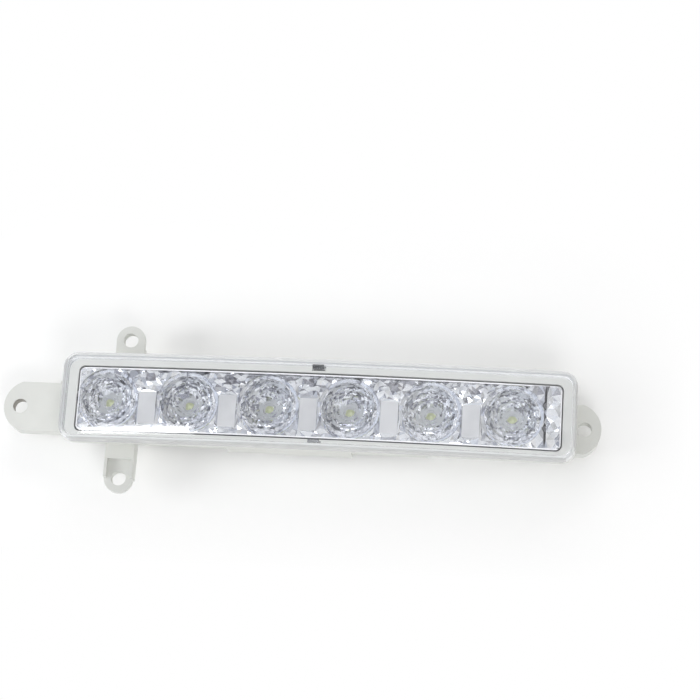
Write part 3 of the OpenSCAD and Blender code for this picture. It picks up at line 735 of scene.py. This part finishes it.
def arc_points(x, start, stop, count):
    """Points on a bowl's edge between two angles in degrees."""
    angles = [math.radians(start + (stop - start) * i / count) for i in range(count + 1)]
    return [(x + BOWL_RADIUS * math.cos(a), BOWL_RADIUS * math.sin(a)) for a in angles]


def split_line(first, last, pitch):
    """Points after first and before last, at about the given pitch."""
    span = math.dist(first, last)
    count = max(1, round(span / pitch))
    return [
        (first[0] + (last[0] - first[0]) * i / count, first[1] + (last[1] - first[1]) * i / count)
        for i in range(1, count)
    ]


def cut_field(data, outline, inner, holds, height, coat=None):
    """Closed block whose front is cut in flats.

    The points are the outline's and the inner ones, holds are edges that stay, and the rules height and
    coat give the rise of a point and the finish of a flat.
    """
    count = len(outline)
    points = [Vector(p) for p in outline + inner]
    edges = [(i, (i + 1) % count) for i in range(count)] + holds
    flat, _, faces, *_ = delaunay_2d_cdt(points, edges, [], 1, 1e-7)
    top = [data.verts.new((p.x, MIRROR_Y - height(p.x, p.y), p.y)) for p in flat]
    low = [data.verts.new((p.x, MIRROR_Y + SHEET, p.y)) for p in flat]
    used = {}
    for face in faces:
        front = data.faces.new([top[i] for i in face])
        centre = front.calc_center_median()
        if coat:
            front.material_index = coat(centre.x, centre.z)
        data.faces.new([low[i] for i in reversed(face)])
        for a, b in zip(face, face[1:] + face[:1]):
            used[(a, b)] = True
    for a, b in used:
        if (b, a) not in used:
            data.faces.new((top[a], low[a], low[b], top[b]))


def scatter(rng, x0, x1, z_limit, allowed):
    """Jittered grid of points inside the allowed zone."""
    points = []
    rows = int(2 * z_limit / FACET) + 1
    across = int((x1 - x0) / FACET) + 1
    for i in range(across):
        for j in range(rows):
            x = x0 + (i + 0.5 + rng.uniform(-SPREAD, SPREAD)) * FACET
            z = -z_limit + (j + 0.5 + rng.uniform(-SPREAD, SPREAD)) * FACET
            if allowed(x, z):
                points.append((x, z))
    return points


def field_between(data, index, edge_z, rng):
    """Mirror field between two bowls: a flat panel with a crown and a foot of cut flats."""
    left, right = cell_x[index], cell_x[index + 1]
    middle = (left + right) / 2
    end = math.degrees(math.asin(edge_z / BOWL_RADIUS))
    down = arc_points(left, end, -end, 16)
    up = arc_points(right, 180 + end, 180 - end, 16)
    outline = down + split_line(down[-1], up[0], FACET) + up + split_line(up[-1], down[0], FACET)
    panel = [
        (middle - PANEL_HALF, PANEL_LOW), (middle + PANEL_HALF, PANEL_LOW),
        (middle + PANEL_HALF, PANEL_HIGH), (middle - PANEL_HALF, PANEL_HIGH),
    ]
    margin = 0.8 * MM
    # Middle of a painted shade patch on the crown
    shade_x = rng.uniform(-1, 2.5) * MM
    shade_z = edge_z - rng.uniform(2.6, 3.4) * MM

    def allowed(x, z):
        if abs(z) > edge_z - margin:
            return False
        if min(math.hypot(x - left, z), math.hypot(x - right, z)) < BOWL_RADIUS + margin:
            return False
        return not in_panel(x, z, margin)

    def in_panel(x, z, spare=0.01 * MM):
        return abs(x - middle) < PANEL_HALF + spare and PANEL_LOW - spare < z < PANEL_HIGH + spare

    def height(x, z):
        if in_panel(x, z):
            return PANEL_RISE
        cut = CROWN_CUT if z > PANEL_HIGH else FOOT_CUT if z < PANEL_LOW else SIDE_CUT
        return rng.uniform(*cut) * MM

    first = len(outline)
    holds = [(first + i, first + (i + 1) % 4) for i in range(4)]
    inner = panel + scatter(rng, left, right, edge_z, allowed)

    def coat(x, z):
        if in_panel(x, z):
            return AS_SATIN
        # Painted shade: the patch and a few random crown flats take the shaded coat
        patch = math.hypot((x - middle - shade_x) / 1.5, z - shade_z) < 1.9 * MM
        if patch or (z > PANEL_HIGH and rng.random() < 0.04):
            return AS_SHADED
        return AS_MIRROR

    cut_field(data, outline, inner, holds, height, coat)


def corner_field(data, x_wall, edge_z, side, rng):
    """Mirror corner beside the first bowl; side is 1 above and -1 below."""
    x = cell_x[0]
    meet = math.degrees(math.acos((x_wall - x) / BOWL_RADIUS))
    end = 180 - math.degrees(math.asin(edge_z / BOWL_RADIUS))
    arc = [(px, side * pz) for px, pz in arc_points(x, end, meet, 7)]
    corner = (x_wall, side * edge_z)
    outline = [corner] + split_line(corner, arc[0], FACET) + arc + split_line(arc[-1], corner, FACET)
    margin = 0.7 * MM

    def allowed(px, pz):
        inside = px > x_wall + margin and side * pz > margin and abs(pz) < edge_z - margin
        return inside and px < x and math.hypot(px - x, pz) > BOWL_RADIUS + margin

    inner = scatter(rng, x_wall, x, edge_z, allowed)
    cut_field(data, outline, inner, [], lambda px, pz: rng.uniform(*CORNER_CUT) * MM)


def end_field(data, x_wall, edge_z, rng):
    """Mirror field beside the last bowl, cut in upright prisms with one groove, darkened by painted shade."""
    x = cell_x[-1]
    end = math.degrees(math.asin(edge_z / BOWL_RADIUS))
    arc = arc_points(x, end, -end, 16)
    low = (x_wall, -edge_z)
    high = (x_wall, edge_z)
    outline = arc + split_line(arc[-1], low, FACET) + [low] + split_line(low, high, 2 * FACET) + [high]
    outline += split_line(high, arc[0], FACET)
    inner = []
    for i in range(1, GROOVE_ROWS):
        z = -edge_z + 2 * edge_z * i / GROOVE_ROWS
        for px in (GROOVE_X - GROOVE_HALF, GROOVE_X, GROOVE_X + GROOVE_HALF):
            inner.append((px, z))
    for share in (0.3, 0.55, 0.8):
        px = GROOVE_X + GROOVE_HALF + (x_wall - GROOVE_X - GROOVE_HALF) * share
        for i in range(1, PRISM_ROWS):
            z = -edge_z + 2 * edge_z * i / PRISM_ROWS
            inner.append((px + rng.uniform(-0.4, 0.4) * MM, z + rng.uniform(-1.8, 1.8) * MM))

    def height(px, pz):
        if abs(px - GROOVE_X) < 0.1 * GROOVE_HALF:
            return 0.2 * MM
        if abs(px - GROOVE_X) < 1.1 * GROOVE_HALF:
            return 2.2 * MM
        return rng.uniform(*END_CUT) * MM

    def coat(px, pz):
        # Painted shade: the groove, some flats near the top and a few specks there take the dark coats
        if GROOVE_X - GROOVE_HALF < px < GROOVE_X and abs(pz) < edge_z - 1.5 * MM:
            return AS_GAP_SHADE
        if pz > edge_z - 5 * MM and rng.random() < 0.4:
            return AS_SHADED
        speck = pz > edge_z - 4 * MM and px > GROOVE_X and rng.random() < 0.2
        return AS_GAP_SHADE if speck else AS_MIRROR

    cut_field(data, outline, inner, [], height, coat)


def lining(data):
    """Metallised lip that lines the window, with a rounded front edge."""
    size = (MIRROR_W, MIRROR_H, LINING_CORNER)
    near = LIP_ROUND * 0.3
    depths = [
        (0, -LINING_GAP - GAP_DEPTH),
        (GAP_WIDTH, -LINING_GAP - LIP_ROUND),
        (GAP_WIDTH + near, -LINING_GAP - near),
        (GAP_WIDTH + LIP_ROUND, -LINING_GAP),
        (LINING_WALL - LIP_ROUND, -LINING_GAP),
        (LINING_WALL - near, -LINING_GAP - near),
        (LINING_WALL, -LINING_GAP - LIP_ROUND),
    ]
    rings = [bowed_ring(data, inset, ahead, *size) for inset, ahead in depths]
    lip_count = len(depths) - 1
    rings.append(bowed_ring(data, LINING_WALL, -LINING_GAP - SHADE_DEPTH, *size))
    for inset in (LINING_WALL, 0):
        ring = bowed_ring(data, inset, 0, *size)
        for vert in ring:
            vert.co.y = MIRROR_Y + SHEET
        rings.append(ring)
    # The gap ring takes painted shade, the lip the coat with a painted glow, and the inner wall's upper half
    # the shaded coat as painted shade
    for number, (first, second) in enumerate(zip(rings, rings[1:] + rings[:1])):
        start = len(data.faces)
        join_rings(data, first, second)
        data.faces.ensure_lookup_table()
        for face in data.faces[start:]:
            if number == 0:
                face.material_index = AS_GAP_SHADE
            elif number < lip_count:
                face.material_index = AS_GLOW
            elif number == lip_count and face.calc_center_median().z > 0:
                face.material_index = AS_SHADED


def mirror_reflector():
    """Lining, six bowls and the cut fields between and beside them."""
    data = bmesh.new()
    rng = random.Random(5)
    lining(data)
    edge_z = MIRROR_H / 2 - LINING_WALL + LINING_BITE
    wall_left = LAMP_X - MIRROR_W / 2 + LINING_WALL - LINING_BITE
    wall_right = LAMP_X + MIRROR_W / 2 - LINING_WALL + LINING_BITE
    for x in cell_x:
        bowl(data, x, rng)
    for index in range(CELLS - 1):
        field_between(data, index, edge_z, rng)
    for side in (-1, 1):
        corner_field(data, wall_left, edge_z, side, rng)
    end_field(data, wall_right, edge_z, rng)
    finishes = [MIRROR, GLOW_COAT, SATIN, SHADED_COAT, BOWL, GAP_SHADE_COAT]
    add_piece("mirror_reflector", data, finishes, "reflector")


# Camera, stage and lights
def add_camera():
    azimuth = math.radians(CAMERA_AZIMUTH)
    elevation = math.radians(CAMERA_ELEVATION)
    flat = math.cos(elevation)
    back = Vector((math.sin(azimuth) * flat, -math.cos(azimuth) * flat, math.sin(elevation)))
    right = Vector((0, 0, 1)).cross(back).normalized()
    turn = Matrix.Rotation(math.radians(CAMERA_ROLL), 3, back)
    right = turn @ right
    up = back.cross(right)
    basis = Matrix((right, up, back)).transposed().to_4x4()
    data = bpy.data.cameras.new("camera")
    data.sensor_width = SENSOR
    data.lens = SENSOR * FOCAL_PIXELS / PICTURE
    data.clip_start = 0.01
    camera = bpy.data.objects.new("camera", data)
    camera.matrix_world = Matrix.Translation(CAMERA_AIM + back * CAMERA_DISTANCE) @ basis
    bpy.context.scene.collection.objects.link(camera)
    bpy.context.scene.camera = camera


def seen_directly(tree):
    """One for the camera, and for what it sees straight through clear plastic."""
    path = tree.nodes.new("ShaderNodeLightPath")
    unbent = math_node(tree, "LESS_THAN", path.outputs["Glossy Depth"], 0.5)
    through = math_node(tree, "MULTIPLY", path.outputs["Is Transmission Ray"], unbent)
    return math_node(tree, "MAXIMUM", path.outputs["Is Camera Ray"], through)


def pale_sheet(name, colour, glow, body, near, far, rise):
    """Pale matt sheet that keeps shadows near the lamp and turns plain white away from it.

    The sheet fades from near to far, measured from a box of the half sizes body whose middle lies at rise.
    """
    material, tree, shader = blank(name)
    fibres = noise(tree, 40.0, 5.0)
    place, along = axes(tree)
    tree.links.new(place, fibres.inputs["Vector"])
    darker = tuple(c * 0.985 for c in colour)
    tree.links.new(mix_colour(tree, fibres.outputs["Fac"], darker, colour), shader.inputs["Base Color"])
    shader.inputs["Roughness"].default_value = 0.9
    shader.inputs["Specular IOR Level"].default_value = 0.1
    seen = seen_directly(tree)
    shader.inputs["Emission Color"].default_value = (1, 1, 1, 1)
    tree.links.new(math_node(tree, "MULTIPLY", seen, glow), shader.inputs["Emission Strength"])
    squares = None
    for axis, reach, shift in zip("XYZ", body, (0, 0, rise)):
        value = math_node(tree, "SUBTRACT", along[axis], shift)
        beyond = math_node(tree, "SUBTRACT", math_node(tree, "ABSOLUTE", value), reach)
        outside = math_node(tree, "MAXIMUM", beyond, 0.0)
        square = math_node(tree, "MULTIPLY", outside, outside)
        squares = square if squares is None else math_node(tree, "ADD", squares, square)
    apart = math_node(tree, "SQRT", squares)
    fade = math_node(tree, "MULTIPLY", map_range(tree, apart, near, far), seen)
    white = tree.nodes.new("ShaderNodeEmission")
    faded = mix_shaders(tree, fade, shader.outputs[0], white.outputs[0])
    behind = tree.nodes.new("ShaderNodeNewGeometry").outputs["Backfacing"]
    clear = tree.nodes.new("ShaderNodeBsdfTransparent")
    mixed = mix_shaders(tree, behind, faded, clear.outputs[0])
    tree.links.new(mixed, tree.nodes["Material Output"].inputs["Surface"])
    return material


def add_sheet(name, points, material):
    """Flat sheet of the stage, which casts no shadow itself."""
    data = bmesh.new()
    data.faces.new([data.verts.new(p) for p in points])
    mesh = bpy.data.meshes.new(name)
    data.to_mesh(mesh)
    data.free()
    mesh.materials.append(material)
    sheet = bpy.data.objects.new(name, mesh)
    bpy.context.scene.collection.objects.link(sheet)
    sheet.visible_shadow = False
    return sheet


def add_stage():
    """White sheet that the lamp lies on in the photograph, and a pale floor for the other views."""
    low, high = Vector(cad_bounds[0]), Vector(cad_bounds[1])
    reach = 3.0
    square = ((-reach, -reach), (reach, -reach), (reach, reach), (-reach, reach))
    back = high.y + 0.3 * MM
    ground = low.z - 0.1 * MM
    white = pale_sheet(
        "white_sheet", (0.93, 0.93, 0.92), glow=0.06, body=(0.12, 1, 0.022), near=0.012, far=0.065, rise=0.016
    )
    add_sheet("white_sheet", [(x, back, z) for x, z in square], white)
    pale = pale_sheet(
        "pale_floor", (0.96, 0.96, 0.95), glow=0.2, body=(0.12, 0.02, 1), near=0.03, far=0.3, rise=0
    )
    floor = add_sheet("pale_floor", [(x, y, ground) for x, y in square], pale)
    floor.visible_diffuse = False
    floor.visible_glossy = False


def add_lamp(name, place, aim, size, power):
    """White area lamp at a place in metres, aimed at a point, with its power in watts."""
    data = bpy.data.lights.new(name, "AREA")
    data.shape = "RECTANGLE"
    data.size, data.size_y = size
    data.energy = power
    lamp = bpy.data.objects.new(name, data)
    direction = Vector(aim) - Vector(place)
    lamp.rotation_euler = direction.to_track_quat("-Z", "Y").to_euler()
    lamp.location = place
    bpy.context.scene.collection.objects.link(lamp)


def add_lights():
    middle = (0, 0, 0)
    add_lamp("key", (-1.28, -0.55, -0.2), middle, (0.55, 0.55), 10.4)
    add_lamp("fill", (0.35, -0.9, -0.8), middle, (0.5, 0.5), 3.8)
    add_lamp("top", (0.1, -0.5, 0.8), middle, (0.8, 0.25), 2.1)
    add_lamp("rear", (-0.5, 0.95, 0.5), middle, (0.8, 0.8), 5.4)
    add_lamp("rear_fill", (0.8, 0.8, 0.2), middle, (0.7, 0.7), 2.5)
    # Slim strips that show as the bright band low on the left of the cover
    add_lamp("strip", (-0.24, -0.6, 0.1253), (-0.24, -0.028, -0.02), (0.118, 0.005), 0.012)
    add_lamp("strip_edge", (-0.24, -0.602, 0.1258), (-0.24, -0.03, -0.0195), (0.128, 0.0085), 0.009)


def add_world():
    """Studio surround: light and dark patches for the mirrors, and white where it is seen directly."""
    world = bpy.data.worlds.new("studio")
    bpy.context.scene.world = world
    world.use_nodes = True
    tree = world.node_tree
    sky = tree.nodes["Background"]
    place, along = axes(tree, "Generated")
    patches = noise(tree, 3.4, 2.0, 0.5)
    tree.links.new(place, patches.inputs["Vector"])
    patch = map_range(tree, patches.outputs["Fac"], 0.42, 0.58)
    studio = mix_colour(tree, patch, (0.42, 0.42, 0.44), (0.96, 0.96, 0.97))
    warm = map_range(tree, along["X"], -0.6, 0.6)
    tint = mix_colour(tree, warm, (0.9, 0.935, 1.0), (1.0, 0.98, 0.93))
    studio = mix_colour(tree, 1.0, studio, tint, "MULTIPLY")
    steep = map_range(tree, math_node(tree, "ABSOLUTE", along["Z"]), 0.6, 0.85)
    open_ends = mix_colour(tree, steep, studio, (0.92, 0.92, 0.93))
    tree.links.new(mix_colour(tree, seen_directly(tree), open_ends, (1.0, 1.0, 1.0)), sky.inputs["Color"])
    path = tree.nodes.new("ShaderNodeLightPath")
    seen = math_node(tree, "ADD", path.outputs["Is Camera Ray"], path.outputs["Is Glossy Ray"])
    seen = math_node(tree, "ADD", seen, path.outputs["Is Transmission Ray"])
    tree.links.new(map_range(tree, seen, 0.0, 1.0, MATT_LIGHT, 1.0), sky.inputs["Strength"])


add_camera()
finish_nodes()
clear_cover()
mirror_reflector()
for cell in range(CELLS):
    collimator(cell)
add_stage()
add_lights()
add_world()
bpy.context.scene.view_settings.view_transform = "Standard"
